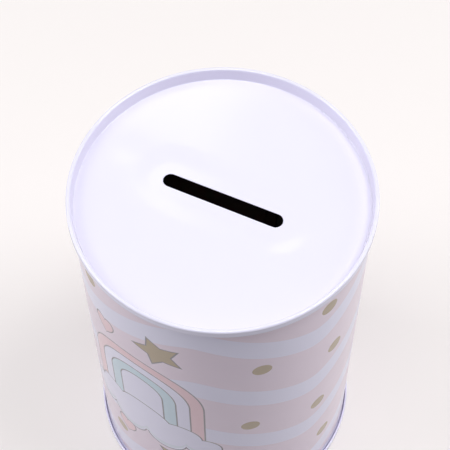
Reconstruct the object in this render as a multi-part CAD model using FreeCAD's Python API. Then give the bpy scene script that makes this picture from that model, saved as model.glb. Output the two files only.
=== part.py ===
import FreeCAD, Part
import math
import os

# Round tin money box: a printed sheet wall, two pressed ends rolled on with double seams, and a base stopper.
# Millimetres, +Z up, origin on the resting plane under the middle of the base, coin slot along X.

# Printed wall
tin_height = 150.0          # over both rolled rims
body_diameter = 97.4        # outside of the printed wall
body_sheet = 0.22           # tinplate of the wall
body_flare = 0.42           # how far the wall opens out on its way into a double seam
flare_below_seam = 1.6      # where the wall starts to open out, outside the seam
flare_bend = 1.2            # radius on the centre line of the sheet, as of every bend

# Pressed ends and their double seams
end_sheet = 0.24            # tinplate of the ends
seam_gap = 0.06             # air between two layers of a seam
seam_height = 3.3
rim_flat = 0.26             # level ring along the top of the rim, between its two bends
chuck_edge_bend = 0.3       # tight bend along the inside of the rim
hook_tip_clearance = 0.45   # from the tip of a hook to the fold that it points into
countersink_depth = 4.6     # from the top of the rim down to the panel
chuck_lean = 0.72           # how far the recess wall leans in on its way down to the panel
panel_bend = 0.3

# Lock seam down the back of the wall
lock_width = 4.5
lock_gap = 0.06             # air between two layers of the lock
lock_tip_clearance = 0.5    # from the edge of the sheet to the fold that it points into
lock_end_clearance = 1.8    # from the end of the lock to the flare of the wall and the panel of the end
joggle_start = 0.32         # where the inner layer of the lock steps out to the wall again
joggle_run = 0.3
joggle_bend = 0.25
lock_angle = 90.0           # degrees from +X, the back of the tin

# Coin slot
slot_length = 42.0
slot_width = 5.0

# Base stopper
plug_hole_diameter = 44.0
plug_fit = 0.08             # radial clearance of the neck in the hole
plug_seat_gap = 0.05        # between the flange and the panel
plug_flange_overlap = 4.0   # how far the flange covers the panel around the hole
plug_flange_thickness = 1.2
plug_skirt = 1.3            # wall of the skirt
plug_skirt_height = 8.0     # above the flange
plug_lead_in = 0.9          # bevel around the tip of the skirt
plug_edge = 0.4             # bevel around the underside of the flange
tab_width = 14.0            # pull tab on the edge of the flange
tab_reach = 8.0             # beyond the flange
tab_thickness = 0.85
bead_radius = 0.7           # grip bead across the tab
bead_inset = 3.0            # from the tip of the tab

# A bend is made of flats at least this long, so that the thin folds stay light
bend_flat = 0.7

# Radii and depths that follow from the sizes above; a depth is counted from a rim towards the middle of the tin
wall_radius = body_diameter / 2 - body_sheet / 2
layer_pitch = (end_sheet + body_sheet) / 2 + seam_gap
wall_in_seam = wall_radius + body_flare
chuck_radius = wall_in_seam - layer_pitch
end_hook_radius = wall_in_seam + layer_pitch
body_hook_radius = end_hook_radius + layer_pitch
rim_radius = body_hook_radius + layer_pitch
rim_bend = rim_radius - chuck_radius - rim_flat - chuck_edge_bend
panel_corner_radius = chuck_radius - chuck_lean
panel_level = countersink_depth + end_sheet / 2
rim_level = end_sheet / 2
lip_level = seam_height - end_sheet / 2
body_fold_level = rim_level + rim_bend + body_sheet / 2
end_hook_tip = body_fold_level + body_sheet / 2 + hook_tip_clearance
body_hook_tip = seam_height - end_sheet - hook_tip_clearance
flare_start = seam_height + flare_below_seam
lock_end = max(flare_start, countersink_depth + end_sheet) + lock_end_clearance
lock_pitch = body_sheet + lock_gap
hole_radius = plug_hole_diameter / 2
flange_radius = hole_radius + plug_flange_overlap
flange_top = countersink_depth - plug_seat_gap
flange_bottom = flange_top - plug_flange_thickness

# A curve that bulges less than this, in square millimetres, is a straight line
flattest_bulge = 1e-6
origin = FreeCAD.Vector(0, 0, 0)
up = FreeCAD.Vector(0, 0, 1)


def flat(across, along):
    """A point of a flat drawing."""
    return FreeCAD.Vector(across, along, 0)


def left_of(way):
    """A direction of the drawing, turned a quarter turn to the left."""
    return flat(-way.y, way.x)


def turned_by(way, angle):
    """A direction of the drawing, turned to the left by an angle."""
    return way * math.cos(angle) + left_of(way) * math.sin(angle)


def bend_points(before, corner, after, radius, shift):
    """Points around one bend of a path, on a line that runs beside the path, shift to its left.

    The points are the corners of the flats that touch the round bend from outside.
    """
    way_in = (corner - before).normalize()
    way_out = (after - corner).normalize()
    turn = math.atan2(left_of(way_in).dot(way_out), way_in.dot(way_out))
    centre_side = math.copysign(1, turn)
    bend_start = corner - way_in * (radius * math.tan(abs(turn) / 2))
    centre = bend_start + left_of(way_in) * (radius * centre_side)
    side_radius = radius - shift * centre_side
    corner_count = 1 + int(radius * abs(turn) / bend_flat)
    step = turn / corner_count
    corner_radius = side_radius / math.cos(step / 2)
    ways = [turned_by(way_in, (index + 0.5) * step) for index in range(corner_count)]
    return [centre - left_of(way) * (corner_radius * centre_side) for way in ways]


def beside_path(corners, bends, shift):
    """Points of the line that runs beside a path of straight runs and bends, shift to its left."""
    first_way = (corners[1] - corners[0]).normalize()
    last_way = (corners[-1] - corners[-2]).normalize()
    points = [corners[0] + left_of(first_way) * shift]
    for before, corner, after, radius in zip(corners, corners[1:], corners[2:], bends):
        points += bend_points(before, corner, after, radius, shift)
    return points + [corners[-1] + left_of(last_way) * shift]


def sheet_outline(corners, bends, thickness):
    """The outline of a folded sheet seen edge on, half its thickness to each side of its centre line."""
    near_side = beside_path(corners, bends, thickness / 2)
    far_side = beside_path(corners, bends, -thickness / 2)
    return near_side + far_side[::-1]


def edge_through(start, middle, end):
    """The arc through three points, or a line where they lie in a row."""
    bulge = (middle - start).cross(end - start).Length
    curve = Part.Arc(start, middle, end) if bulge > flattest_bulge else Part.LineSegment(start, end)
    return curve.toShape()


def face_of(points, place):
    """The face inside a closed outline of the drawing, put where place says."""
    sides = zip(points, points[1:] + points[:1])
    edges = [edge_through(place(start), place((start + end) * 0.5), place(end)) for start, end in sides]
    return Part.Face(Part.Wire(edges))


def at_base(point):
    """A point of a profile, given by its radius and its depth above the lower rim."""
    return FreeCAD.Vector(point.x, 0, point.y)


def at_top(point):
    """A point of a profile, given by its radius and its depth below the upper rim."""
    return FreeCAD.Vector(point.x, 0, tin_height - point.y)


def round_the_wall(point):
    """A point of the unrolled wall, given by its distance along the wall and its depth inside it, rolled up."""
    angle = math.radians(lock_angle) + point.x / wall_radius
    radius = wall_radius - point.y
    return FreeCAD.Vector(radius * math.cos(angle), radius * math.sin(angle), lock_end)


def turned(outline, place):
    """A profile turned once around the axis of the tin."""
    return face_of(outline, place).revolve(origin, up, 360)


def rolled_wall():
    """The sheet rolled into a tube, with its two edges hooked into each other in four layers."""
    circumference = 2 * math.pi * wall_radius
    second_layer = lock_pitch
    third_layer = second_layer + lock_pitch
    fourth_layer = third_layer + lock_pitch
    corners = [
        flat(lock_tip_clearance, second_layer),
        flat(lock_width, second_layer),
        flat(lock_width, fourth_layer),
        flat(-joggle_start, fourth_layer),
        flat(-joggle_start - joggle_run, 0),
        flat(-circumference, 0),
        flat(-circumference, third_layer),
        flat(-circumference + lock_width - lock_tip_clearance, third_layer),
    ]
    bends = [lock_pitch, lock_pitch, joggle_bend, joggle_bend, lock_pitch, lock_pitch]
    section = face_of(sheet_outline(corners, bends, body_sheet), round_the_wall)
    return section.extrude(up * (tin_height - 2 * lock_end))


def body_hook(place):
    """Edge of the wall: it flares out, rises into the double seam and folds down over the hook of the end."""
    corners = [
        flat(wall_radius, lock_end),
        flat(wall_radius, flare_start),
        flat(wall_in_seam, body_fold_level),
        flat(body_hook_radius, body_fold_level),
        flat(body_hook_radius, body_hook_tip),
    ]
    bends = [flare_bend, layer_pitch, layer_pitch]
    return turned(sheet_outline(corners, bends, body_sheet), place)


def body_wall():
    """The printed wall with the hooks of both double seams."""
    return rolled_wall().fuse([body_hook(at_base), body_hook(at_top)])


def pressed_end(place, inner_radius):
    """Panel, leaning recess wall, rolled rim and hook of one end."""
    corners = [
        flat(inner_radius, panel_level),
        flat(panel_corner_radius, panel_level),
        flat(chuck_radius, rim_level),
        flat(rim_radius, rim_level),
        flat(rim_radius, lip_level),
        flat(end_hook_radius, lip_level),
        flat(end_hook_radius, end_hook_tip),
    ]
    bends = [panel_bend, chuck_edge_bend, rim_bend, layer_pitch, layer_pitch]
    return turned(sheet_outline(corners, bends, end_sheet), place)


def round_ended_bar(length, width, height):
    """A bar along X with half round ends, standing on the middle of its base."""
    half_run = (length - width) / 2
    half_width = width / 2
    corners = [flat(half_run, -half_width), flat(half_run, half_width)]
    corners += [flat(-half_run, half_width), flat(-half_run, -half_width)]
    right, upper, left, lower = zip(corners, corners[1:] + corners[:1])
    tips = [flat(length / 2, 0), flat(0, half_width), flat(-length / 2, 0), flat(0, -half_width)]
    edges = [edge_through(side[0], tip, side[1]) for side, tip in zip((right, upper, left, lower), tips)]
    return Part.Face(Part.Wire(edges)).extrude(up * height)


def top_end():
    """The upper end with the coin slot pierced through its panel."""
    punch = round_ended_bar(slot_length, slot_width, 2 * countersink_depth)
    punch.translate(up * (tin_height - 2 * countersink_depth))
    return pressed_end(at_top, 0).cut(punch)


def bottom_end():
    """The lower end, with the round hole for the stopper left open in its panel."""
    return pressed_end(at_base, hole_radius)


def plug_cup():
    """Flange and skirt of the stopper, open towards the inside of the tin."""
    neck_radius = hole_radius - plug_fit
    inner_radius = neck_radius - plug_skirt
    tip_level = flange_top + plug_skirt_height
    half_section = [
        flat(0, flange_bottom),
        flat(flange_radius - plug_edge, flange_bottom),
        flat(flange_radius, flange_bottom + plug_edge),
        flat(flange_radius, flange_top),
        flat(neck_radius, flange_top),
        flat(neck_radius, tip_level - plug_lead_in),
        flat(neck_radius - plug_lead_in, tip_level),
        flat(inner_radius, tip_level),
        flat(inner_radius, flange_top),
        flat(0, flange_top),
    ]
    return turned(half_section, at_base)


def pull_tab():
    """Tongue on the front edge of the flange, thinner than it, with a half round grip bead across its underside."""
    length = tab_reach + tab_width
    tip = flange_radius + tab_reach
    tongue = round_ended_bar(length, tab_width, tab_thickness)
    tongue.rotate(origin, up, 90)
    tongue.translate(FreeCAD.Vector(0, length / 2 - tip, flange_bottom))
    half_bead = math.sqrt(bead_inset * (tab_width - bead_inset)) - bead_radius
    bead_end = FreeCAD.Vector(-half_bead, bead_inset - tip, flange_bottom)
    bead = Part.makeCylinder(bead_radius, 2 * half_bead, bead_end, FreeCAD.Vector(1, 0, 0))
    return tongue.fuse(bead)


def base_plug():
    """The stopper: its cup and its pull tab in one moulding."""
    return plug_cup().fuse(pull_tab())


os.makedirs("parts", exist_ok=True)
for make in (body_wall, top_end, bottom_end, base_plug):
    solid = make().removeSplitter()
    print(make.__name__, len(solid.Solids), "solid", solid.isValid(), round(solid.Volume, 1), "mm3")
    solid.exportStep("parts/" + make.__name__ + ".step")
print("across the rims", round(2 * rim_radius + end_sheet, 3), "mm")
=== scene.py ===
# %% [markdown]
# # A printed tin money box
# The box is thin tinplate: a printed wall, a sunken lid with a coin slot, a base, and a soft stopper in the
# base. The packed model gives every piece its size and place. Here each piece is drawn again as a fine,
# smooth surface with round bends, and gets its real finish.

# %% Load the frame
import functools
import math

import bpy
import numpy as np
from mathutils import Matrix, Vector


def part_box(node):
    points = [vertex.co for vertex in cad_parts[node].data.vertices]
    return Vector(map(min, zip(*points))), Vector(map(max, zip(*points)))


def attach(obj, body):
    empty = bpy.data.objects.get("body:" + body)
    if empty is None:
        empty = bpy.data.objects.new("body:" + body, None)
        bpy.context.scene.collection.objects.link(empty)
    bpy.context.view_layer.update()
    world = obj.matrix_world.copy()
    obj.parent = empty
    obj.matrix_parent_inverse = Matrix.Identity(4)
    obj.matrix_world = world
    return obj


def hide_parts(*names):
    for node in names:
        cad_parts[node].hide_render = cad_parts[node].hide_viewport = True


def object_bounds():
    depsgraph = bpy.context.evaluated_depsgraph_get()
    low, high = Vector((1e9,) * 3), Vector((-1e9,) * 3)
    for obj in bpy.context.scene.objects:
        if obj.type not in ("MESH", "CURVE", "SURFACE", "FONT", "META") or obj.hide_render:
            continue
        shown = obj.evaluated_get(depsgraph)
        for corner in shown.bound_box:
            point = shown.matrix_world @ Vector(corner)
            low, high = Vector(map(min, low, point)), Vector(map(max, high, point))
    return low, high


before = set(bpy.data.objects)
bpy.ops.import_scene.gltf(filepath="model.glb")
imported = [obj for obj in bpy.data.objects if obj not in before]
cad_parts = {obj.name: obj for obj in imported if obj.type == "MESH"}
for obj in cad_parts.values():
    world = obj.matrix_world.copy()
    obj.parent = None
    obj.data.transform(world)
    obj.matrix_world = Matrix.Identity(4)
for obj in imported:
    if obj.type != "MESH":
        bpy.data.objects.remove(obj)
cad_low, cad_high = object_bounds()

mm = 0.001
tin_height = cad_high.z - cad_low.z
rim_radius = min(cad_high.x, -cad_low.x, cad_high.y, -cad_low.y)
print("the tin is", round(tin_height / mm, 2), "mm high and", round(2 * rim_radius / mm, 2), "mm across")

# %% [markdown]
# ## Folded sheet
# Everything but the stopper is bent sheet. Seen edge on, a sheet is a line of straight runs with a round
# bend at each corner. One could model it with Bevel and Solidify modifiers, but working the bends out gives
# exact radii and an even thickness, and the same few lines then serve the wall, the lid and the base.

# %% A line of runs and bends
# so little that it doesn't count, as a length in metres, a share or a sine
tiny = 1e-6


def folded_line(corners, radii, steps=8):
    """Points and left-hand normals of a line with a round bend at each inner corner.

    A bend begins radius * tan(turn / 2) before its corner. Its points lie one radius from the bend's centre,
    along the left-hand normal, which is swung in even steps from the old run to the new one.
    """
    corners = np.array(corners, float)
    runs = np.diff(corners, axis=0)
    ways = runs / np.linalg.norm(runs, axis=1)[:, None]
    lefts = np.stack([-ways[:, 1], ways[:, 0]], axis=1)
    points = [corners[:1]]
    normals = [lefts[:1]]
    for corner, way_in, way_out, left, radius in zip(corners[1:], ways, ways[1:], lefts, radii):
        turn = math.atan2(left @ way_out, way_in @ way_out)
        side = math.copysign(1, turn)
        centre = corner - way_in * radius * math.tan(abs(turn) / 2) + left * radius * side
        swing = np.linspace(0, turn, steps + 1)[:, None]
        swung = left * np.cos(swing) - way_in * np.sin(swing)
        points.append(centre - swung * radius * side)
        normals.append(swung)
    return np.concatenate(points + [corners[-1:]]), np.concatenate(normals + [lefts[-1:]])


def filled(points, normals, step):
    """The same line with extra points, so that none of its straight runs has a gap longer than step.

    A run of length L is cut into L / step equal pieces, rounded up.
    """
    lengths = np.linalg.norm(np.diff(points, axis=0), axis=1)
    marks = np.concatenate([[0], np.cumsum(np.ceil(lengths / step - tiny).clip(1))])
    fine = np.arange(marks[-1] + 1)
    spread = [np.interp(fine, marks, column) for column in np.hstack([points, normals]).T]
    return np.stack(spread[:2], axis=1), np.stack(spread[2:], axis=1)


sample_line, _ = folded_line([(0, 0), (2, 0), (2, 2)], [1])
print("a line with one square corner, bent round, has", len(sample_line), "points")

# %% [markdown]
# ## From rings to a mesh
# Each piece is a stack of rings, and neighbouring rings are joined with quads. Blender's Spin or Screw
# could turn a profile too, but a grid of rings also takes a slot, a lock seam or a pull tab: a ring needn't
# be a circle.

# %% Rings to a mesh
def quads_between(rows, columns, closed=False):
    """Corner numbers of the quads between rings, whose points are numbered row * columns + column.

    In a closed stack the last ring is joined to the first one too.
    """
    row = np.arange(rows if closed else rows - 1)[:, None]
    column = np.arange(columns)[None, :]
    next_row = (row + 1) % rows
    next_column = (column + 1) % columns
    corners = [row * columns + column, row * columns + next_column]
    corners += [next_row * columns + next_column, next_row * columns + column]
    return np.stack(corners, axis=-1)


def enclosed(points, faces):
    """Volume inside quads that face outwards: a sixth of the sum of the box products of their triangles."""
    a, b, c, d = (points[faces[:, corner]] for corner in range(4))
    boxes = np.einsum("ij,ij->i", a, np.cross(b, c)) + np.einsum("ij,ij->i", a, np.cross(c, d))
    return boxes.sum() / 6


def make_piece(name, points, faces, finishes, finish_of_face, crease=40):
    """A mesh object at the origin, its faces turned outwards, smooth but for edges sharper than crease."""
    volume = enclosed(points, faces)
    if volume < 0:
        faces = faces[:, ::-1]
    mesh = bpy.data.meshes.new(name)
    mesh.from_pydata(points.tolist(), [], faces.tolist())
    for finish in finishes:
        mesh.materials.append(finish)
    mesh.polygons.foreach_set("material_index", finish_of_face.astype(np.int32))
    mesh.polygons.foreach_set("use_smooth", np.ones(len(faces), bool))
    mesh.set_sharp_from_angle(angle=math.radians(crease))
    mesh.validate()
    piece = bpy.data.objects.new(name, mesh)
    bpy.context.scene.collection.objects.link(piece)
    print(name, len(points), "points,", len(faces), "quads,", round(abs(volume) / mm ** 3, 1), "cubic mm")
    return piece


print("two rings of 8 points are joined by", quads_between(2, 8).size // 4, "quads")

# %% [markdown]
# ## Finishes as formulas
# A print is easiest to think of as arithmetic: how far is this spot from that dot? Shader nodes can do it,
# and they could be placed by hand in the node editor. A small class lets them be written as ordinary sums
# instead: each operator adds one Math node and returns its output.

# %% Arithmetic with shader nodes
def set_inputs(node, **settings):
    """Sets inputs of a node to plain values. An underscore in a keyword stands for a space."""
    for setting, value in settings.items():
        node.inputs[setting.replace("_", " ")].default_value = value


def feed(tree, value, socket):
    """Joins a field to a socket, or sets the socket to a plain number."""
    if isinstance(value, Field):
        tree.links.new(value.socket, socket)
    else:
        socket.default_value = value


class Field:
    """One number that varies over a surface, as an output of a shader node."""

    def __init__(self, tree, socket):
        self.tree = tree
        self.socket = socket

    def apply(self, operation, *others):
        """The output of a new Math node that is fed this field, then other fields or plain numbers."""
        node = self.tree.nodes.new("ShaderNodeMath")
        node.operation = operation
        for place, value in enumerate((self, *others)):
            feed(self.tree, value, node.inputs[place])
        return Field(self.tree, node.outputs[0])

    # the four operators, each of them one Math node
    def __add__(self, other):
        return self.apply("ADD", other)

    def __sub__(self, other):
        return self.apply("SUBTRACT", other)

    def __mul__(self, other):
        return self.apply("MULTIPLY", other)

    def __truediv__(self, other):
        return self.apply("DIVIDE", other)

    def size(self):
        """The field without its sign."""
        return self.apply("ABSOLUTE")

    def least(self, other):
        """The smaller of two fields at each spot."""
        return self.apply("MINIMUM", other)

    def most(self, other):
        """The larger of two fields at each spot."""
        return self.apply("MAXIMUM", other)

    def wrapped(self, period):
        """The field less a whole number of periods, from minus half a period to plus half a period."""
        return self.apply("WRAP", -period / 2, period / 2)

    def between(self, low, high):
        """Runs from low to high where the field runs from 0 to 1: low + field * (high - low)."""
        return self * (high - low) + low

    def inside(self, softness):
        """1 where the field is below zero and 0 where it is above, with a soft step between."""
        node = self.tree.nodes.new("ShaderNodeMapRange")
        node.interpolation_type = "SMOOTHSTEP"
        feed(self.tree, self, node.inputs["Value"])
        set_inputs(node, From_Min=-softness, From_Max=softness, To_Min=1, To_Max=0)
        return Field(self.tree, node.outputs["Result"])


print("what a field can do:", [name for name in vars(Field) if "__" not in name])

# %% Helpers for finishes
def new_finish(name, **settings):
    """A material and its node tree, with plain numbers of its Principled shader set."""
    material = bpy.data.materials.new(name)
    material.use_nodes = True
    set_inputs(material.node_tree.nodes["Principled BSDF"], **settings)
    return material, material.node_tree


def mixed(tree, share, first, second):
    """A colour between two colours or outputs of nodes: the first where the share is 0, the second at 1."""
    node = tree.nodes.new("ShaderNodeMix")
    node.data_type = "RGBA"
    feed(tree, share, node.inputs[0])
    # a Mix node has sockets for each type of data: 6 and 7 go in for colours, and 2 comes out
    for colour, socket in ((first, node.inputs[6]), (second, node.inputs[7])):
        if isinstance(colour, bpy.types.NodeSocket):
            tree.links.new(colour, socket)
        else:
            socket.default_value = (*colour, 1)
    return node.outputs[2]


def grain(tree, size, detail=2, stretch=(1, 1, 1)):
    """Cloudy noise from 0 to 1 on the piece's own coordinates, its blots about size across."""
    place = tree.nodes.new("ShaderNodeTexCoord")
    mapping = tree.nodes.new("ShaderNodeMapping")
    noise = tree.nodes.new("ShaderNodeTexNoise")
    set_inputs(mapping, Scale=stretch)
    set_inputs(noise, Scale=1 / size, Detail=detail)
    tree.links.new(place.outputs["Object"], mapping.inputs["Vector"])
    tree.links.new(mapping.outputs["Vector"], noise.inputs["Vector"])
    return Field(tree, noise.outputs[0])


def dress(material, colour, roughness, relief, depth):
    """Gives a finish its colour, its roughness, and bumps of some depth from a relief between 0 and 1."""
    tree = material.node_tree
    shader = tree.nodes["Principled BSDF"]
    bump = tree.nodes.new("ShaderNodeBump")
    set_inputs(bump, Strength=1, Distance=depth)
    feed(tree, relief, bump.inputs["Height"])
    feed(tree, roughness, shader.inputs["Roughness"])
    tree.links.new(colour, shader.inputs["Base Color"])
    tree.links.new(bump.outputs["Normal"], shader.inputs["Normal"])
    print(material.name, "has", len(tree.nodes), "nodes")


# %% [markdown]
# ## White lacquer
# The lid and the base are roller-coated white with a cool tint and stoved to a gloss. Plain white with one
# roughness would do from afar, and look like plastic close by. A coat of lacquer levels well but never
# quite: it keeps a faint orange peel, and handling leaves it a little duller in places. So noise varies its
# colour, its gloss and its relief.

# %% White lacquer
lacquer_colours = ((0.749, 0.701, 0.879), (0.767, 0.718, 0.892))


def white_lacquer():
    """Colour in clouds 18 mm across, a gloss duller in patches of 9 mm, and orange peel 1.6 mm across."""
    material, tree = new_finish("white_lacquer", IOR=1.45, Coat_Weight=0.15, Coat_Roughness=0.06)
    colour = mixed(tree, grain(tree, size=18 * mm), *lacquer_colours)
    handled = grain(tree, size=9 * mm, detail=5).between(0.10, 0.16)
    dress(material, colour, roughness=handled, relief=grain(tree, size=1.6 * mm), depth=0.0025 * mm)
    return material


lacquer_finish = white_lacquer()

# %% [markdown]
# ## Bare tinplate, darkened as painted shade
# The inside of the box and the cut edges are bare. Tinplate is rolled, so its shine has fine streaks along
# one direction, here along the height of the tin, and slow grey clouds. An anisotropic shader could stretch
# the shine, but noise pulled out along one axis shows the streaks themselves, close by and through the
# slot. Its colour is painted shade: far darker than real tinplate, so that the inside seen through the slot
# is black.

# %% Bare tinplate, darkened as painted shade
# painted shade: both colours are far darker than real tinplate, so that the inside seen through the slot is
# black
tinplate_shade_colours = ((0.14, 0.137, 0.14), (0.19, 0.186, 0.185))


def tinplate_painted_shade():
    """Metal darkened as painted shade, in clouds 12 mm across, with streaks half a millimetre wide in its
    roughness and its relief.
    """
    material, tree = new_finish("tinplate_painted_shade", Metallic=1)
    streaks = grain(tree, size=0.5 * mm, detail=3, stretch=(1, 1, 0.03))
    colour = mixed(tree, grain(tree, size=12 * mm), *tinplate_shade_colours)
    dress(material, colour, roughness=streaks.between(0.26, 0.44), relief=streaks, depth=0.002 * mm)
    return material


tinplate_shade_finish = tinplate_painted_shade()

# %% [markdown]
# ## The wall as one folded sheet
# The wall starts as a flat printed sheet. Its two upright edges are hooked into each other at the back,
# which makes the lock seam, and its top and bottom edges flare out and fold over inside the double seams. A
# plain tube with a drawn line for the seam would be quicker, but then the groove at the back would have no
# depth.

# %% Sizes of the wall
wall_sheet = 0.22 * mm
end_sheet = 0.24 * mm
layer_gap = 0.06 * mm
hook_slack = 0.03 * mm
hook_gap = 0.45 * mm
seam_height = 3.3 * mm
rim_bend = 0.6 * mm
flare = 0.42 * mm
flare_rise = 1.6 * mm

layer_pitch = (wall_sheet + end_sheet) / 2 + layer_gap
rim_line = rim_radius - end_sheet / 2
wall_hook_line = rim_line - layer_pitch - hook_slack
end_hook_line = rim_line - 2 * layer_pitch
wall_in_seam = end_hook_line - layer_pitch
recess_line = wall_in_seam - layer_pitch
wall_line = wall_in_seam - flare
wall_fold = end_sheet / 2 + rim_bend + wall_sheet / 2
wall_hook_tip = seam_height - end_sheet - hook_gap
flare_start = seam_height + flare_rise
print("the printed wall is", round((2 * wall_line + wall_sheet) / mm, 2), "mm across")

# %% Stations up the wall
lock_end = 6.7 * mm
lock_taper = 0.5 * mm
flare_bend = 1.2 * mm
flare_margin = 1 * mm
station_step = 4 * mm


def wall_stations():
    """Radius, height and outward normal of the sheet, from the hook in the lower seam to the upper hook.

    The upper end mirrors the lower one: a height becomes the tin's height less it. On the straight wall
    between them, extra stations stand where the lock seam begins and where it ends.
    """
    lower = [(wall_hook_line, wall_hook_tip), (wall_hook_line, wall_fold)]
    lower += [(wall_in_seam, wall_fold), (wall_line, flare_start)]
    upper = [(radius, tin_height - height) for radius, height in lower[::-1]]
    bends = [layer_pitch, layer_pitch, flare_bend]
    points, normals = folded_line(lower + upper, bends + bends[::-1], steps=6)
    points, normals = filled(points, normals, station_step)
    straight_low = flare_start + flare_margin
    middle = np.flatnonzero((points[:, 1] > straight_low) & (points[:, 1] < tin_height - straight_low))
    lock_top = tin_height - lock_end
    lock_marks = [lock_end, lock_end + lock_taper, lock_top - lock_taper, lock_top]
    heights = np.sort(np.concatenate([points[middle, 1], lock_marks]))
    straight = np.stack([np.full(len(heights), wall_line), heights], axis=1)
    straight_normals = np.tile(normals[middle[0]], (len(heights), 1))
    first, last = middle[0], middle[-1] + 1
    points = np.concatenate([points[:first], straight, points[last:]])
    normals = np.concatenate([normals[:first], straight_normals, normals[last:]])
    return points, -normals


station_points, station_normals = wall_stations()
print(len(station_points), "stations from hook to hook")

# %% The sheet across the lock seam
lock_pitch = wall_sheet + layer_gap
lock_width = 4.5 * mm
lock_margin = 1 * mm
edge_setback = 0.5 * mm
joggle_start = -0.32 * mm
joggle_run = 0.3 * mm
joggle_bend = 0.25 * mm
sheet_step = 0.9 * mm
joint_gap = 0.03 * mm
wall_length = 2 * math.pi * wall_line


def locked_line():
    """The sheet seen from above, unrolled: distance along the wall and depth inside it, from edge to edge.

    The first edge is tucked into the second layer of the lock and the last edge into the third.
    """
    layers = np.arange(4) * lock_pitch
    corners = [(edge_setback, layers[1]), (lock_width, layers[1]), (lock_width, layers[3])]
    corners += [(joggle_start, layers[3]), (joggle_start - joggle_run, 0), (-wall_length, 0)]
    corners += [(-wall_length, layers[2]), (lock_width - edge_setback - wall_length, layers[2])]
    bends = [lock_pitch, lock_pitch, joggle_bend, joggle_bend, lock_pitch, lock_pitch]
    points, normals = folded_line(corners, bends, steps=6)
    return filled(points, normals, sheet_step)


def butted_line(locked):
    """The same points where the sheet has no lock, inside the seams: its two edges stand face to face.

    Points of the plain wall stay, and those of the hooks are spread evenly over what is left up to the joint.
    """
    along = locked[:, 0].copy()
    clear_of_lock = (along < -lock_margin) & (along > lock_margin - wall_length)
    plain = np.flatnonzero(clear_of_lock & (np.abs(locked[:, 1]) < tiny))
    first, last = plain[0], plain[-1]
    rest = len(along) - last - 1
    along[:first] = np.linspace(-joint_gap, along[first], first, endpoint=False)
    along[last + 1:] = np.linspace(joint_gap - wall_length, along[last], rest, endpoint=False)[::-1]
    return np.stack([along, np.zeros_like(along)], axis=1)


lock_points, lock_normals = locked_line()
butt_points = butted_line(lock_points)
print(len(lock_points), "points across the sheet,", round(wall_length / mm, 2), "mm round the wall")

# %% Roll the sheet up
def rolled_sheet():
    """Grid of points, one row for each station and one column for each point of the outline of the sheet.

    A point lies at the angle distance / radius round the axis, counted from the back of the tin, and at the
    station moved along its normal by minus the depth. The outline runs along the printed side and back along
    the bare side.
    """
    outward = np.tile([0.0, -1.0], (len(butt_points), 1))
    low_end = (station_points[:, 1] - lock_end) / lock_taper
    high_end = (tin_height - lock_end - station_points[:, 1]) / lock_taper
    locked = np.clip(np.minimum(low_end, high_end), 0, 1)[:, None, None]
    line = butt_points + locked * (lock_points - butt_points)
    side = outward + locked * (lock_normals - outward)
    printed = line + side * wall_sheet / 2
    bare = line - side * wall_sheet / 2
    outline = np.concatenate([printed, bare[:, ::-1]], axis=1)
    angle = math.pi / 2 + outline[..., 0] / wall_line
    radius = station_points[:, None, 0] - outline[..., 1] * station_normals[:, None, 0]
    height = station_points[:, None, 1] - outline[..., 1] * station_normals[:, None, 1]
    return np.stack([radius * np.cos(angle), radius * np.sin(angle), height], axis=-1)


wall_grid = rolled_sheet()
print("the wall has", wall_grid.shape[0], "rows of", wall_grid.shape[1], "points")

# %% [markdown]
# ## Where the print lies
# The sheet was printed flat, so every point of the mesh keeps its place on that flat sheet: millimetres
# along it from the middle of the front, and millimetres below the upper rim. Object coordinates could be
# bent round the tin in the shader, but an attribute follows the sheet round its folds too.

# %% Place of each point on the flat sheet
def walked(line):
    """Length walked along a line up to each of its points: the running sum of its steps."""
    steps = np.linalg.norm(np.diff(line, axis=0), axis=1)
    return np.concatenate([[0], np.cumsum(steps)])


def place_on_sheet():
    """Distance along the sheet and depth below the upper rim, in millimetres, for each point of the grid.

    Both are lengths walked along the folded lines, shifted so that the middle of the wall stays where it is.
    """
    along = walked(lock_points)
    front = np.argmin(np.abs(lock_points[:, 0] + wall_length / 2))
    along = along[front] - along + lock_points[front, 0] + wall_length / 2
    along = np.concatenate([along, along[::-1]])
    climb = walked(station_points)
    middle = len(climb) // 2
    depth = tin_height - station_points[middle, 1] - (climb - climb[middle])
    both = np.broadcast_arrays(along[None, :], depth[:, None], 0.0)
    return np.stack(both, axis=-1).reshape(-1, 3) / mm


sheet_place = place_on_sheet()
print("the print runs from", sheet_place.min(0).round(1), "to", sheet_place.max(0).round(1))

# %% [markdown]
# ## The print
# Wavy white bands on pale pink, scattered gold dots, and one large motif at the front: a pastel rainbow
# that stands in a cloud, with two gold stars and two hearts. Painting an image would be the usual way. As
# arithmetic on the flat sheet the print stays sharp at any distance. All its sizes are millimetres, and
# each shape is a distance: below zero is inside.

# %% Shapes of the print
ink_edge = 0.12
star_notch = 0.5
heart_lift = 0.8
heart_drop = 0.35


def far(across, down):
    """Distance from the origin: the root of the sum of the two squares."""
    return (across * across + down * down).apply("SQRT")


def nearest(distances):
    """Distance to the nearest of several shapes: the least of their distances."""
    return functools.reduce(Field.least, distances)


def circle(x, y, centre, radius):
    """Distance to a circle: the length to its centre, less its radius."""
    return far(x - centre[0], y - centre[1]) - radius


def star(x, y, centre, radius, tilt):
    """About the distance to a five-pointed star: a turn is folded into half a point, with a straight edge.

    The edge runs from the tip at the full radius to a notch at half of it, a tenth of a turn further round.
    """
    across = x - centre[0]
    down = y - centre[1]
    turn = (across.apply("ARCTAN2", down) + tilt).wrapped(2 * math.pi / 5).size()
    length = far(across, down)
    notch_out = star_notch * math.cos(math.pi / 5)
    notch_aside = star_notch * math.sin(math.pi / 5)
    edge = math.hypot(1 - notch_out, notch_aside)
    inward = (length * turn.apply("COSINE") - radius) * (notch_aside / edge)
    return inward + length * turn.apply("SINE") * ((1 - notch_out) / edge)


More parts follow.
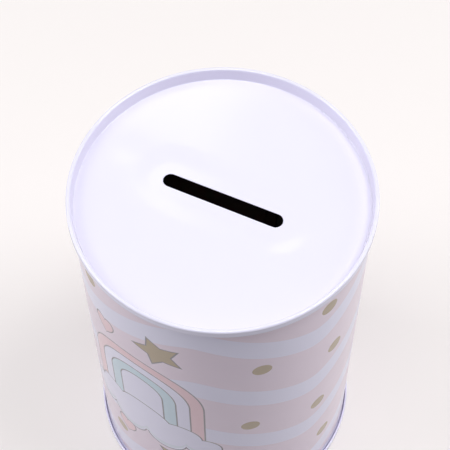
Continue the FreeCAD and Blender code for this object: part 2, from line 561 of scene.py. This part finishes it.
def heart(x, y, centre, radius):
    """About the distance to a heart: a circle, lifted by heart_lift times the root of the way sideways."""
    across = (x - centre[0]) / radius
    down = (y - centre[1]) / radius
    lifted = down + across.size().apply("SQRT") * heart_lift - heart_drop
    return (far(across, lifted) - 1) * radius


print("the edge of an ink is", 2 * ink_edge, "mm soft")

# %% Bands and dots
wave_length = 87.4
wave_rise = 16.5
wave_crest = 10.9
wave_sharpness = 0.95
band_pitch = 36.75
band_height = 11.5
band_level = 18.0
dot_radius = 3.35
top_margin = 7.5
motif_along = -9.8
motif_level = 66.0
motif_half_width = 30.0
motif_half_height = 52.0

# place of each dot along the sheet and below the rim, within one wave and two bands
dot_places = ((57.7, 11.4), (30.2, 3.3), (1.8, -1.7), (33.6, 32.6), (63.2, 46.1), (5.2, 29.6))


def wave(along):
    """Height of the wavy bands, a softened zigzag: the arc sine of a cosine that stops short of 1."""
    swing = ((along - wave_crest) * (2 * math.pi / wave_length)).apply("COSINE") * wave_sharpness
    return swing.apply("ARCSINE") * (wave_rise / 2 / math.asin(wave_sharpness))


def band(along, depth):
    """Distance to the nearest white band, which follows the wave."""
    level = depth + wave(along) - band_level
    return level.wrapped(band_pitch).size() - band_height / 2


def dots(along, depth):
    """Distance to the nearest dot. Three dots to a wave lie on each pink band, and every second band repeats.

    An oval is kept clear of dots for the motif, and a margin under the upper rim.
    """
    circles = []
    for across, down in dot_places:
        x = (along - across).wrapped(wave_length)
        y = (depth - down).wrapped(2 * band_pitch)
        circles.append(circle(x, y, (0, 0), dot_radius))
    across = (along - motif_along) / motif_half_width
    down = (depth - motif_level) / motif_half_height
    kept_clear = far(across, down) * -1 + 1
    return nearest(circles).most(kept_clear * motif_half_width).most(depth * -1 + top_margin)


print("the bands make", round(wall_length / mm / wave_length, 2), "waves round the tin")

# %% Inks
white_ink = (0.765, 0.724, 0.912)
pink_ink = (0.754, 0.613, 0.735)
gold_ink = (0.41, 0.305, 0.195)
blue_ink = (0.55, 0.667, 0.78)
rose_ink = (0.8, 0.533, 0.6)
line_ink = (0.2, 0.181, 0.21)
shade_ink = (0.68, 0.695, 0.82)
pink_drift = 1.03
outline_width = 0.55
bottom_margin = 5.4


def inked(tree, paper, distance, ink):
    """The colours so far, with ink wherever the distance is below zero."""
    return mixed(tree, distance.inside(ink_edge), paper, ink)


def outlined(tree, paper, distance, ink):
    """A shape filled with ink, with a thin dark outline where the distance is nearly zero."""
    paper = inked(tree, paper, distance, ink)
    return inked(tree, paper, distance.size() - outline_width / 2, line_ink)


def pattern(tree, along, depth):
    """Slightly uneven pink with the white bands, the gold dots, and a white margin above the lower rim."""
    fuller_pink = tuple(value * pink_drift for value in pink_ink)
    paper = mixed(tree, grain(tree, size=14 * mm), pink_ink, fuller_pink)
    paper = inked(tree, paper, band(along, depth), white_ink)
    paper = inked(tree, paper, dots(along, depth), gold_ink)
    return inked(tree, paper, depth * -1 + (tin_height / mm - bottom_margin), white_ink)


print("outlines are", outline_width, "mm wide")

# %% The motif
rainbow_centre = (0, 64)
rainbow_radius = 24.0
rainbow_stripe = 5.0
rainbow_foot = 96.0
rainbow_inks = (rose_ink, white_ink, blue_ink, white_ink)

# place across and down, and radius, of each round puff of the cloud
upper_puffs = ((-23, 97, 7.5), (-14, 90, 9.5), (0, 88, 12), (14, 91, 9), (23, 97, 7))
lower_puffs = ((-8, 98, 8.5), (9, 98, 8))
cloud_puffs = upper_puffs + lower_puffs
shade_rise = 3.5
shade_inset = 0.9

# place across and down, radius, and tilt in radians
star_forms = (((9, 27), 9.5, 0.25), ((10, 112), 5.5, -0.2))
heart_places = ((-14, 34), (-10, 111))
heart_radius = 4.5


def rainbow(tree, paper, x, y):
    """Nested arches, each one stripe smaller: half circles on straight legs, cut off at the foot."""
    raised = y.least(rainbow_centre[1])
    for step, ink in enumerate(rainbow_inks):
        arch = circle(x, raised, rainbow_centre, rainbow_radius - step * rainbow_stripe)
        paper = outlined(tree, paper, arch.most(y - rainbow_foot), ink)
    return paper


def cloud(x, y):
    """Distance to a cloud, the nearest of its round puffs."""
    return nearest([circle(x, y, (across, down), radius) for across, down, radius in cloud_puffs])


def motif(tree, paper, x, y):
    """The rainbow, the cloud before it, shaded where a raised copy doesn't reach, the stars and hearts."""
    paper = rainbow(tree, paper, x, y)
    puffs = cloud(x, y)
    paper = outlined(tree, paper, puffs, white_ink)
    shade = cloud(x, y + shade_rise) * -1
    paper = inked(tree, paper, shade.most(puffs + shade_inset), shade_ink)
    for centre, radius, tilt in star_forms:
        paper = outlined(tree, paper, star(x, y, centre, radius, tilt), gold_ink)
    for centre in heart_places:
        paper = outlined(tree, paper, heart(x, y, centre, heart_radius), rose_ink)
    return paper


print("the motif has", len(rainbow_inks), "arches and", len(cloud_puffs), "puffs of cloud")

# %% The printed sheet
def printed_sheet():
    """The pattern and the motif on the flat sheet, under a clear varnish with patches of wear 8 mm across."""
    material, tree = new_finish("printed_tin", IOR=1.42, Coat_Weight=0.1, Coat_Roughness=0.05)
    place = tree.nodes.new("ShaderNodeAttribute")
    place.attribute_name = "sheet_place"
    parts = tree.nodes.new("ShaderNodeSeparateXYZ")
    tree.links.new(place.outputs["Vector"], parts.inputs[0])
    along = Field(tree, parts.outputs["X"])
    depth = Field(tree, parts.outputs["Y"])
    colour = motif(tree, pattern(tree, along, depth), along - motif_along, depth)
    worn = grain(tree, size=8 * mm, detail=5).between(0.16, 0.28)
    dress(material, colour, roughness=worn, relief=grain(tree, size=1.4 * mm), depth=0.002 * mm)
    return material


print_finish = printed_sheet()

# %% Make the wall
def wall_faces():
    """Quads round and up the sheet, and a strip across its edge at each end. 0 is printed and 1 is bare."""
    rows, columns = wall_grid.shape[:2]
    half = columns // 2
    skin = quads_between(rows, columns)
    bare = np.ones(skin.shape[:2], int)
    bare[:, :half - 1] = 0
    near = np.arange(half - 1)
    strip = np.stack([near, near + 1, columns - 2 - near, columns - 1 - near], axis=1)
    ends = np.concatenate([strip[:, ::-1], strip + (rows - 1) * columns])
    faces = np.concatenate([skin.reshape(-1, 4), ends])
    return faces, np.concatenate([bare.ravel(), np.ones(len(ends), int)])


faces, bare = wall_faces()
wall_finishes = [print_finish, tinplate_shade_finish]
printed_wall = make_piece("printed_wall", wall_grid.reshape(-1, 3), faces, wall_finishes, bare)
places = printed_wall.data.attributes.new("sheet_place", "FLOAT_VECTOR", "POINT")
places.data.foreach_set("vector", sheet_place.astype(np.float32).ravel())
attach(printed_wall, "tin")
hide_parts("body_wall")

# %% [markdown]
# ## The pressed ends
# Lid and base are pressed from one disc each: a flat panel, a wall that rises to the rim, and an edge that
# is curled over the wall's edge and rolled flat against it. A ring of half-round bar would look like a rim
# from above, but not from the side. The two ends have the same rim, so one profile serves both, turned over
# for the base.

# %% Profile of the rim
recess_depth = 4.6 * mm
recess_lean = 0.72 * mm
panel_bend = 0.5 * mm
crown_bend = 0.5 * mm
waist = 0.08 * mm
waist_drop = 1.3 * mm
waist_bend = 4 * mm
panel_level = tin_height - recess_depth - end_sheet / 2


def rim_profile(start):
    """Radius and height of an end's sheet, seen edge on, from the panel over the rim to the tip of its hook.

    Straight runs with round bends: along the panel, up the leaning wall of the recess, across the crown, down
    the outside, which the seaming roll draws in at the waist, and inwards and up again as the hook.
    """
    top = tin_height - end_sheet / 2
    lip = tin_height - seam_height + end_sheet / 2
    hook_tip = tin_height - wall_fold - wall_sheet / 2 - hook_gap
    corners = [(start, panel_level), (recess_line - recess_lean, panel_level), (recess_line, top)]
    corners += [(rim_line, top), (rim_line - waist, tin_height - waist_drop), (rim_line, lip)]
    corners += [(end_hook_line, lip), (end_hook_line, hook_tip)]
    bends = [panel_bend, crown_bend, rim_bend, waist_bend, layer_pitch, layer_pitch]
    return folded_line(corners, bends, steps=8)


def end_faces(rings, columns, outside):
    """Quads of a closed stack of rings. 0 is lacquered, for the first rings, and 1 is bare."""
    faces = quads_between(rings, columns, closed=True)
    bare = np.ones(faces.shape[:2], int)
    bare[:outside - 1] = 0
    return faces.reshape(-1, 4), bare.ravel()


print("the panel of the lid lies", round(recess_depth / mm, 2), "mm below the rim")

# %% [markdown]
# ## The lid and its slot
# The rings of the lid start as the outline of the slot and spread out to circles at the edge of the panel,
# like ripples from a stick in water. A Boolean could cut the slot from a disc, but it leaves ragged faces
# round it. Punching drags the thin panel down: an oval set-down lies round the slot, deeper at two opposite
# corners. No pressed panel is quite flat either, so this one has a small dent at the left and slow waves of
# a few hundredths of a millimetre. They are what the light plays on.

# %% The slot's outline
slot_length = 42 * mm
slot_width = 5 * mm
slot_half_run = (slot_length - slot_width) / 2
lid_columns = 400


def slot_outline():
    """Points evenly spaced round a slot with half round ends, from its right tip: a bar plus a circle."""
    end_radius = slot_width / 2
    lap = 4 * slot_half_run + 2 * math.pi * end_radius
    quarter_arc = math.pi * end_radius / 2
    marks = np.array([0, quarter_arc, quarter_arc + 2 * slot_half_run])
    marks = np.concatenate([marks, marks[2:] + 2 * quarter_arc, [lap - quarter_arc, lap]])
    place = np.arange(lid_columns) * lap / lid_columns
    turn = np.interp(place, marks, np.array([0, 1, 1, 3, 3, 4]) * math.pi / 2)
    middle = np.interp(place, marks, np.array([1, 1, -1, -1, 1, 1]) * slot_half_run)
    return np.stack([middle + end_radius * np.cos(turn), end_radius * np.sin(turn)], axis=1)


slot_points = slot_outline()
print("the slot measures", (np.ptp(slot_points, axis=0) / mm).round(2), "mm")

# %% Dents of the panel
set_down = 0.42 * mm
set_down_reach = 11.5 * mm
set_down_ramp = 7.5 * mm
dent_depth = 0.22 * mm
dent_x = -37 * mm
dent_y = 5 * mm
dent_width = 5 * mm
wave_depth = 0.035 * mm
x_wave = 11 * mm
y_wave = 13 * mm
slant_wave = 17 * mm
slant_share = 0.6
slant = 2
x_shift = 0.6
y_shift = -0.4
held_radius = 46 * mm

# depth, in metres, that the set-down loses for each square metre of x times y
twist = 1.4


def panel_dents(x, y):
    """How far the panel lies from flat: the set-down round the slot, the dent and the slow waves.

    From 11.5 mm to 4 mm off the slot the panel drops along a smooth step, 3 * share ** 2 - 2 * share ** 3.
    Its depth changes with twist * x * y, so that opposite corners are alike. The dent is a bell curve, the
    waves are sines, and all of it fades out at the edge with the fourth power of the radius.
    """
    from_slot = np.hypot(np.maximum(np.abs(x) - slot_half_run, 0), y) - slot_width / 2
    share = np.clip((set_down_reach - from_slot) / set_down_ramp, 0, 1)
    dip = -(set_down - twist * x * y) * (3 * share ** 2 - 2 * share ** 3)
    dip -= dent_depth * np.exp(-((x - dent_x) ** 2 + (y - dent_y) ** 2) / dent_width ** 2)
    waves = np.sin(x / x_wave + x_shift) * np.cos(y / y_wave + y_shift)
    waves = waves + slant_share * np.sin((x + slant * y) / slant_wave)
    hold = np.clip(1 - (np.hypot(x, y) / held_radius) ** 4, 0, 1)
    return (dip + wave_depth * waves) * hold


dents_at_slot = panel_dents(slot_points[:, 0], slot_points[:, 1])
print("the edge of the slot lies", (dents_at_slot.min() / mm).round(2), "mm from flat at its deepest")

# %% Make the lid
lid_step = 0.8 * mm
edge_roll = 0.07 * mm
panel_rings = 36
end_finishes = [lacquer_finish, tinplate_shade_finish]

# where rings lie between the slot at 0 and the edge of the panel at 1: closest at the rolled edge of the slot
roll_shares = [0, 0.001, 0.0025, 0.005]
first_share = 0.02
panel_shares = np.linspace(first_share, 1, panel_rings, endpoint=False)


def lid_rings():
    """Rings from the slot out along the top of the sheet to the tip of the hook, and back underneath.

    On the panel a ring is a blend of slot and circle: (1 - share) * slot + share * circle.
    """
    edge = recess_line - recess_lean - panel_bend
    profile, normals = rim_profile(edge)
    profile, normals = filled(profile, normals, lid_step)
    share = np.concatenate([roll_shares, panel_shares])
    panel = np.tile([edge, panel_level], (len(share), 1))
    lines = np.concatenate([panel, profile])
    sides = np.concatenate([np.tile([0.0, 1.0], (len(share), 1)), normals])
    shares = np.concatenate([share, np.ones(len(profile))])
    rolled_edge = edge_roll * np.clip(1 - shares / roll_shares[-1], 0, 1) ** 2
    top = lines + sides * end_sheet / 2 - np.stack([0 * rolled_edge, rolled_edge], axis=1)
    under = lines - sides * end_sheet / 2
    loop = np.concatenate([top, under[::-1]])
    blend = np.concatenate([shares, shares[::-1]])[:, None, None]
    turn = np.arange(lid_columns) * 2 * math.pi / lid_columns
    circles = loop[:, :1, None] * np.stack([np.cos(turn), np.sin(turn)], axis=1)[None]
    flat = (1 - blend) * slot_points[None] + blend * circles
    height = loop[:, 1:] + panel_dents(flat[..., 0], flat[..., 1])
    return np.concatenate([flat, height[..., None]], axis=-1), len(top)


rings, outside = lid_rings()
faces, bare = end_faces(len(rings), lid_columns, outside)
slotted_lid = make_piece("slotted_lid", rings.reshape(-1, 3), faces, end_finishes, bare)
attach(slotted_lid, "tin")
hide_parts("top_end")

# %% [markdown]
# ## The base
# The base closes the tin from below. It has a round hole for the stopper instead of the slot, so all of its
# rings are circles. It could be a copy of the lid, mirrored and filled in, but the rim's profile turned
# upside down needs no mending.

# %% Make the base
base_hole_radius = 22 * mm
base_columns = 256
base_step = 1.5 * mm


def base_rings():
    """The rim's profile with a panel up to the hole, turned over: the tin's height less each height."""
    profile, normals = rim_profile(base_hole_radius)
    profile, normals = filled(profile, normals, base_step)
    loop = np.concatenate([profile + normals * end_sheet / 2, (profile - normals * end_sheet / 2)[::-1]])
    turn = np.arange(base_columns) * 2 * math.pi / base_columns
    radius = loop[:, :1]
    height = np.broadcast_to(tin_height - loop[:, 1:], (len(loop), base_columns))
    return np.stack([radius * np.cos(turn), radius * np.sin(turn), height], axis=-1), len(profile)


rings, outside = base_rings()
faces, bare = end_faces(len(rings), base_columns, outside)
pressed_base = make_piece("pressed_base", rings.reshape(-1, 3), faces, end_finishes, bare)
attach(pressed_base, "tin")
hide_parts("bottom_end")

# %% [markdown]
# ## The stopper
# The stopper is one soft plastic moulding: a flange, a hollow skirt that grips the hole, and a tab to pull.
# A tab could be a second mesh pushed into the flange, but a crease would show where they meet. So the rings
# are circles but for the flange's edge, which swells out into the tab: flange and tab are one unbroken
# surface.

# %% The flange's outline with its tab
flange_radius = 26 * mm
tab_half_width = 7 * mm
tab_reach = 8 * mm
tab_sector = math.radians(45)
fine_sector = math.radians(18)
fine_columns = 140
coarse_columns = 220
stopper_low, stopper_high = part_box("base_plug")


def stopper_angles():
    """Angles round the axis from the middle of the tab, close together at the tab."""
    fine = np.linspace(-fine_sector, fine_sector, fine_columns, endpoint=False)
    coarse = np.linspace(fine_sector, 2 * math.pi - fine_sector, coarse_columns, endpoint=False)
    return np.concatenate([fine, coarse])


def flange_outline(angle):
    """Radius of the flange's edge: a circle, or the tab where that reaches further.

    The tab ends in a half circle about a point on its middle line, and its sides run straight from there.
    """
    off = np.abs((angle + math.pi) % (2 * math.pi) - math.pi)
    tip_centre = flange_radius + tab_reach - tab_half_width
    round_end = np.sqrt(np.maximum(tab_half_width ** 2 - (tip_centre * np.sin(off)) ** 2, 0))
    straight_side = tab_half_width / np.maximum(np.sin(off), tiny)
    on_end = np.tan(np.minimum(off, tab_sector)) < tab_half_width / tip_centre
    tab = np.where(on_end, tip_centre * np.cos(off) + round_end, straight_side)
    tab = np.where(off > tab_sector, 0, tab)
    return np.maximum(flange_radius, tab)


print("the stopper is", round((stopper_high.z - stopper_low.z) / mm, 2), "mm high")

# %% The stopper's bead and skirt
bead_radius = 0.7 * mm
bead_inset = 3 * mm
bead_half_length = 5 * mm
flange_thickness = 1.2 * mm
skirt_radius = 21.92 * mm
skirt_wall = 1.3 * mm
skirt_bends = [0.9 * mm, 0.35 * mm, 0.8 * mm]
skirt_step = 2 * mm

# radii of the innermost rings, in millimetres
middle_radii = [0.3, 1, 1.6]

flange_bottom = stopper_low.z + bead_radius
skirt_height = stopper_high.z - (flange_bottom + flange_thickness)


def grip_bead(x, y):
    """How far the grip bead stands out of the tab: a parabola across it, tapered towards its two ends."""
    off = (y + flange_radius + tab_reach - bead_inset) / bead_radius
    taper = np.clip(1 - (np.abs(x) / bead_half_length) ** 6, 0, 1)
    return bead_radius * np.clip(1 - off ** 2, 0, 1) * taper


def skirt_line():
    """Radius of the skirt and height above the flange: up outside, over the tip, down and to the middle."""
    inner = skirt_radius - skirt_wall
    corners = [(skirt_radius, 0), (skirt_radius, skirt_height), (inner, skirt_height), (inner, 0)]
    corners += [(middle_radii[0] * mm, 0)]
    line, _ = folded_line(corners, skirt_bends, steps=6)
    line, _ = filled(line, line, skirt_step)
    return line


print("the skirt stands", round(skirt_height / mm, 2), "mm above the flange")

# %% Rings of the stopper
tab_thickness = 0.85 * mm
soft_edge = 0.4 * mm
seat_edge = 0.25 * mm
dome = 0.06 * mm
dome_inset = 0.9 * mm
dome_radius = flange_radius - dome_inset
under_rings = 16
reach_rings = 55
edge_rings = 6

# radius of the first ring outside the innermost ones, in millimetres
under_start = 3

# upper side of the tab, from its tip to the flange: share of the tab's reach, and height above its thickness
tab_shares = np.array([[1], [0.95], [0.5], [0]])
tab_rises = np.array([[-0.12], [0], [0.03], [0.06]]) * mm


def stopper_rings():
    """Rings from the middle of the underside, out round flange and tab, up the skirt and back inside.

    Each stretch gives radius and lift: the domed underside, the way out to the edge with its tab, the edge as
    a quarter circle, the tab's upper side, the flange's upper edge as a quarter circle, and the skirt.
    """
    angle = stopper_angles()
    outline = flange_outline(angle)
    outer_radii = np.linspace(under_start, dome_radius / mm, under_rings)
    under = np.concatenate([middle_radii, outer_radii])[:, None] * mm
    share = np.linspace(0, 1, reach_rings + 1)[1:, None]
    quarter = np.linspace(0, math.pi / 2, edge_rings)[:, None]
    skirt = skirt_line()
    seat_inset = seat_edge * (1 - np.cos(quarter))
    seat_drop = seat_edge * (1 - np.sin(quarter))
    stretches = [
        (under, dome * (1 - (under / dome_radius) ** 2)),
        (dome_radius + (outline - soft_edge - dome_radius) * share, 0 * share),
        (outline - soft_edge + soft_edge * np.sin(quarter[1:]), soft_edge * (1 - np.cos(quarter[1:]))),
        (flange_radius + (outline - flange_radius) * tab_shares, tab_thickness + tab_rises),
        (flange_radius - seat_inset, flange_thickness - seat_drop),
        (skirt[:, :1], flange_thickness + skirt[:, 1:]),
    ]
    radius = np.concatenate([reach + 0 * outline for reach, _ in stretches])
    lift = np.concatenate([rise for _, rise in stretches])
    x = radius * np.sin(angle)
    y = -radius * np.cos(angle)
    first = len(under)
    last = first + len(share)
    height = flange_bottom + lift + 0 * outline
    height[first:last] -= grip_bead(x[first:last], y[first:last])
    return np.stack([x, y, height], axis=-1)


rings = stopper_rings()
print("the stopper has", rings.shape[0], "rings of", rings.shape[1], "points")

# %% [markdown]
# ## Milky plastic
# The stopper is soft polyethylene without a dye. Light goes a little way into it and comes out again, which
# a plain diffuse white can't show, and a glassy material would be too clear. A small share of subsurface
# scattering under a satin skin comes close and renders fast.

# %% Milky plastic
plastic_colours = ((0.78, 0.76, 0.77), (0.83, 0.81, 0.815))


def milky_plastic():
    """Colour in clouds 6 mm across, satin that varies over 2.5 mm, and the fine grain of the mould."""
    material, tree = new_finish("milky_plastic", IOR=1.47, Subsurface_Weight=0.12, Subsurface_Scale=2 * mm)
    colour = mixed(tree, grain(tree, size=6 * mm), *plastic_colours)
    satin = grain(tree, size=2.5 * mm, detail=4).between(0.36, 0.51)
    dress(material, colour, roughness=satin, relief=grain(tree, size=0.35 * mm, detail=4), depth=0.01 * mm)
    return material


plastic_finish = milky_plastic()

# %% Make the stopper
def closed_with_fans(rings):
    """Points and quads of a stack of rings, with a fan at each end: two steps of the ring and the middle."""
    rows, columns = rings.shape[:2]
    skin = quads_between(rows, columns).reshape(-1, 4)
    points = np.concatenate([rings.reshape(-1, 3), rings[[0, -1]].mean(axis=1)])
    column = np.arange(0, columns, 2)
    fan = np.stack([column, (column + 1) % columns, (column + 2) % columns], axis=1)
    low_fan = np.column_stack([fan[:, ::-1], np.full(len(fan), rows * columns)])
    high_fan = np.column_stack([fan + (rows - 1) * columns, np.full(len(fan), rows * columns + 1)])
    return points, np.concatenate([skin, low_fan, high_fan])


points, faces = closed_with_fans(rings)
one_finish = np.zeros(len(faces), int)
base_stopper = make_piece("base_stopper", points, faces, [plastic_finish], one_finish, crease=50)
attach(base_stopper, "stopper")
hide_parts("base_plug")

# %% [markdown]
# ## The floor
# A pale, matt surface that fades into the backdrop further out, so that no horizon shows. A sheet curved up
# behind the tin would do it for one camera, but this floor looks the same from all round. It has a hole
# under the tin, hidden by the rim, and is clear from below, so that the base and the stopper can be seen
# from underneath.

# %% The floor's material
floor_seen = (0.60, 0.545, 0.557)
floor_bounce = (0.40, 0.381, 0.42)
backdrop_colour = (0.98, 0.945, 0.94)
near_glow = 0.32

# metres from the middle of the tin
fade_distance = 0.56
fade_half_width = 0.26


def seen_directly(tree):
    """1 for rays from the camera, also by way of a mirror or glass, and 0 for rays that only carry light."""
    path = tree.nodes.new("ShaderNodeLightPath")
    kinds = ("Is Camera Ray", "Is Glossy Ray", "Is Transmission Ray")
    return functools.reduce(Field.most, [Field(tree, path.outputs[kind]) for kind in kinds])


def either(tree, share, first, second):
    """A shader between two shader nodes: the first where the share is 0 and the second where it is 1."""
    node = tree.nodes.new("ShaderNodeMixShader")
    tree.links.new(share, node.inputs[0])
    tree.links.new(first.outputs[0], node.inputs[1])
    tree.links.new(second.outputs[0], node.inputs[2])
    return node.outputs[0]


def pale_floor():
    """Matt paint that fades out with distance, and a glow, seen by the eye alone, that grows as it fades."""
    material = bpy.data.materials.new("pale_floor")
    material.use_nodes = True
    tree = material.node_tree
    tree.nodes.clear()
    spot = tree.nodes.new("ShaderNodeNewGeometry")
    reach = tree.nodes.new("ShaderNodeVectorMath")
    reach.operation = "LENGTH"
    tree.links.new(spot.outputs["Position"], reach.inputs[0])
    near = (Field(tree, reach.outputs["Value"]) - fade_distance).inside(fade_half_width)
    seen = seen_directly(tree)
    matt = tree.nodes.new("ShaderNodeBsdfDiffuse")
    faded = mixed(tree, near, (0, 0, 0), floor_seen)
    tree.links.new(mixed(tree, seen, floor_bounce, faded), matt.inputs["Color"])
    glow = tree.nodes.new("ShaderNodeEmission")
    set_inputs(glow, Color=(*backdrop_colour, 1))
    feed(tree, seen * near.between(1, near_glow), glow.inputs["Strength"])
    pale = tree.nodes.new("ShaderNodeAddShader")
    tree.links.new(matt.outputs[0], pale.inputs[0])
    tree.links.new(glow.outputs[0], pale.inputs[1])
    clear = tree.nodes.new("ShaderNodeBsdfTransparent")
    output = tree.nodes.new("ShaderNodeOutputMaterial")
    surface = either(tree, spot.outputs["Backfacing"], pale, clear)
    tree.links.new(surface, output.inputs["Surface"])
    return material


floor_finish = pale_floor()
print("the floor has faded out", round(fade_distance + fade_half_width, 2), "m from the middle of the tin")

# %% Make the floor
floor_reach = 8
floor_rings = 24
floor_columns = 96
floor_overlap = 0.5 * mm


def floor_points():
    """Rings of points from just inside the tin's rim outwards, each larger by the same factor."""
    radius = np.geomspace(rim_radius - floor_overlap, floor_reach, floor_rings)[:, None]
    turn = np.linspace(0, 2 * math.pi, floor_columns, endpoint=False)
    grid = np.broadcast_arrays(radius * np.cos(turn), radius * np.sin(turn), 0.0)
    return np.stack(grid, axis=-1).reshape(-1, 3)


floor_mesh = bpy.data.meshes.new("floor")
floor_faces = quads_between(floor_rings, floor_columns).reshape(-1, 4)[:, ::-1]
floor_mesh.from_pydata(floor_points().tolist(), [], floor_faces.tolist())
floor_mesh.materials.append(floor_finish)
floor = bpy.data.objects.new("floor", floor_mesh)
bpy.context.scene.collection.objects.link(floor)
print("floor normal", tuple(round(value, 2) for value in floor_mesh.polygons[0].normal))

# %% [markdown]
# ## Camera
# The camera stands where the photographer stood: in front and a little to the right, high above the lid,
# with a long lens. It could be moved by eye until the picture looks right. Working it out from the rims and
# the sides of the tin in the picture is surer, because the lens and the distance change a view in nearly
# the same way.

# %% Camera
camera_azimuth = math.radians(25.318)
camera_reach = 230.46 * mm
camera_height = 515.25 * mm
nearest_seen = 10 * mm

# turns of the camera, in radians
camera_pan = 0.0030
camera_tilt = -1.0323
camera_roll = -0.0109

# Blender counts these two in millimetres
sensor_width = 36
lens_length = 108.66


def round_the_tin(turn, reach, height):
    """A place at a turn from straight in front, at a reach from the axis and a height above the floor."""
    return np.array([math.sin(turn) * reach, -math.cos(turn) * reach, height])


def placing(across, upward, back, place):
    """The matrix that puts an object at a place, with its X, Y and Z axes along the three directions."""
    matrix = np.eye(4)
    matrix[:3] = np.stack([across, upward, back, place], axis=1)
    return Matrix(matrix.tolist())


heading = camera_pan - camera_azimuth
flat_part = math.cos(camera_tilt)
forward = np.array([math.sin(heading) * flat_part, math.cos(heading) * flat_part, math.sin(camera_tilt)])
level = np.array([math.cos(heading), -math.sin(heading), 0])
upward = np.cross(level, forward)
right = level * math.cos(camera_roll) + upward * math.sin(camera_roll)
above = upward * math.cos(camera_roll) - level * math.sin(camera_roll)
stand = round_the_tin(camera_azimuth, camera_reach, camera_height)

camera = bpy.data.objects.new("camera", bpy.data.cameras.new("camera"))
camera.data.sensor_width = sensor_width
camera.data.lens = lens_length
camera.data.clip_start = nearest_seen
camera.matrix_world = placing(right, above, -forward, stand)
bpy.context.scene.collection.objects.link(camera)
bpy.context.scene.camera = camera
print("camera at", (stand / mm).round(1), "mm")

# %% [markdown]
# ## Light
# Soft light from all round: a panel high above in front, one at the left, one high at the right, two low
# ones at the sides for the wall, a small one behind, and one below for looks at the base. One big lamp
# would light the lid as well, but the recess and the bends show only when panels of different strength are
# mirrored in them.

# %% Lamps
# the light of the panels leans a little towards green
lamp_tint = (1, 1.05, 1)

# nearly along Y, a direction that no panel faces, from which its sides are worked out
lamp_upright = (0, 1, 0.001)


def soft_panel(name, azimuth, reach, height, size, power, aim):
    """A square lamp at an angle round the tin from the camera's side, turned towards a height on the axis.

    The angle is in degrees, the lengths are in metres, and the power is in watts.
    """
    lamp = bpy.data.lights.new(name, "AREA")
    lamp.size = size
    lamp.energy = power
    lamp.color = lamp_tint
    place = round_the_tin(camera_azimuth + math.radians(azimuth), reach, height)
    back = place - np.array([0, 0, aim])
    back = back / np.linalg.norm(back)
    side = np.cross(lamp_upright, back)
    side = side / np.linalg.norm(side)
    holder = bpy.data.objects.new(name, lamp)
    holder.matrix_world = placing(side, np.cross(back, side), back, place)
    bpy.context.scene.collection.objects.link(holder)
    print(name, "at", place.round(2), "m with", power, "W")


half_height = tin_height / 2
soft_panel("high_panel", azimuth=-15, reach=0.30, height=1.33, size=0.5, power=4.1, aim=tin_height)
soft_panel("left_panel", azimuth=-90, reach=0.8, height=1.0, size=0.6, power=4.6, aim=tin_height)
soft_panel("right_panel", azimuth=90, reach=0.5, height=1.25, size=0.5, power=6.9, aim=tin_height)
soft_panel("low_left_panel", azimuth=-89, reach=0.9, height=0.3, size=0.7, power=2.65, aim=half_height)
soft_panel("low_right_panel", azimuth=95, reach=0.9, height=0.3, size=0.7, power=3.5, aim=half_height)
soft_panel("back_panel", azimuth=-175, reach=0.88, height=1.03, size=0.36, power=0.65, aim=tin_height)
soft_panel("panel_below", azimuth=0, reach=0.05, height=-0.6, size=0.4, power=2.0, aim=0)

# %% World
fill_colour = (0.955, 1.008, 1.04)
fill_strength = 0.172

world = bpy.data.worlds.new("studio")
bpy.context.scene.world = world
world.use_nodes = True
world_tree = world.node_tree
fill = world_tree.nodes["Background"]
backdrop = world_tree.nodes.new("ShaderNodeBackground")
set_inputs(fill, Color=(*fill_colour, 1), Strength=fill_strength)
set_inputs(backdrop, Color=(*backdrop_colour, 1), Strength=1)
surroundings = either(world_tree, seen_directly(world_tree).socket, fill, backdrop)
world_tree.links.new(surroundings, world_tree.nodes["World Output"].inputs["Surface"])
bpy.context.scene.view_settings.view_transform = "Standard"
print("the surroundings light the tin with a strength of", fill_strength)

# %% [markdown]
# ## Finish
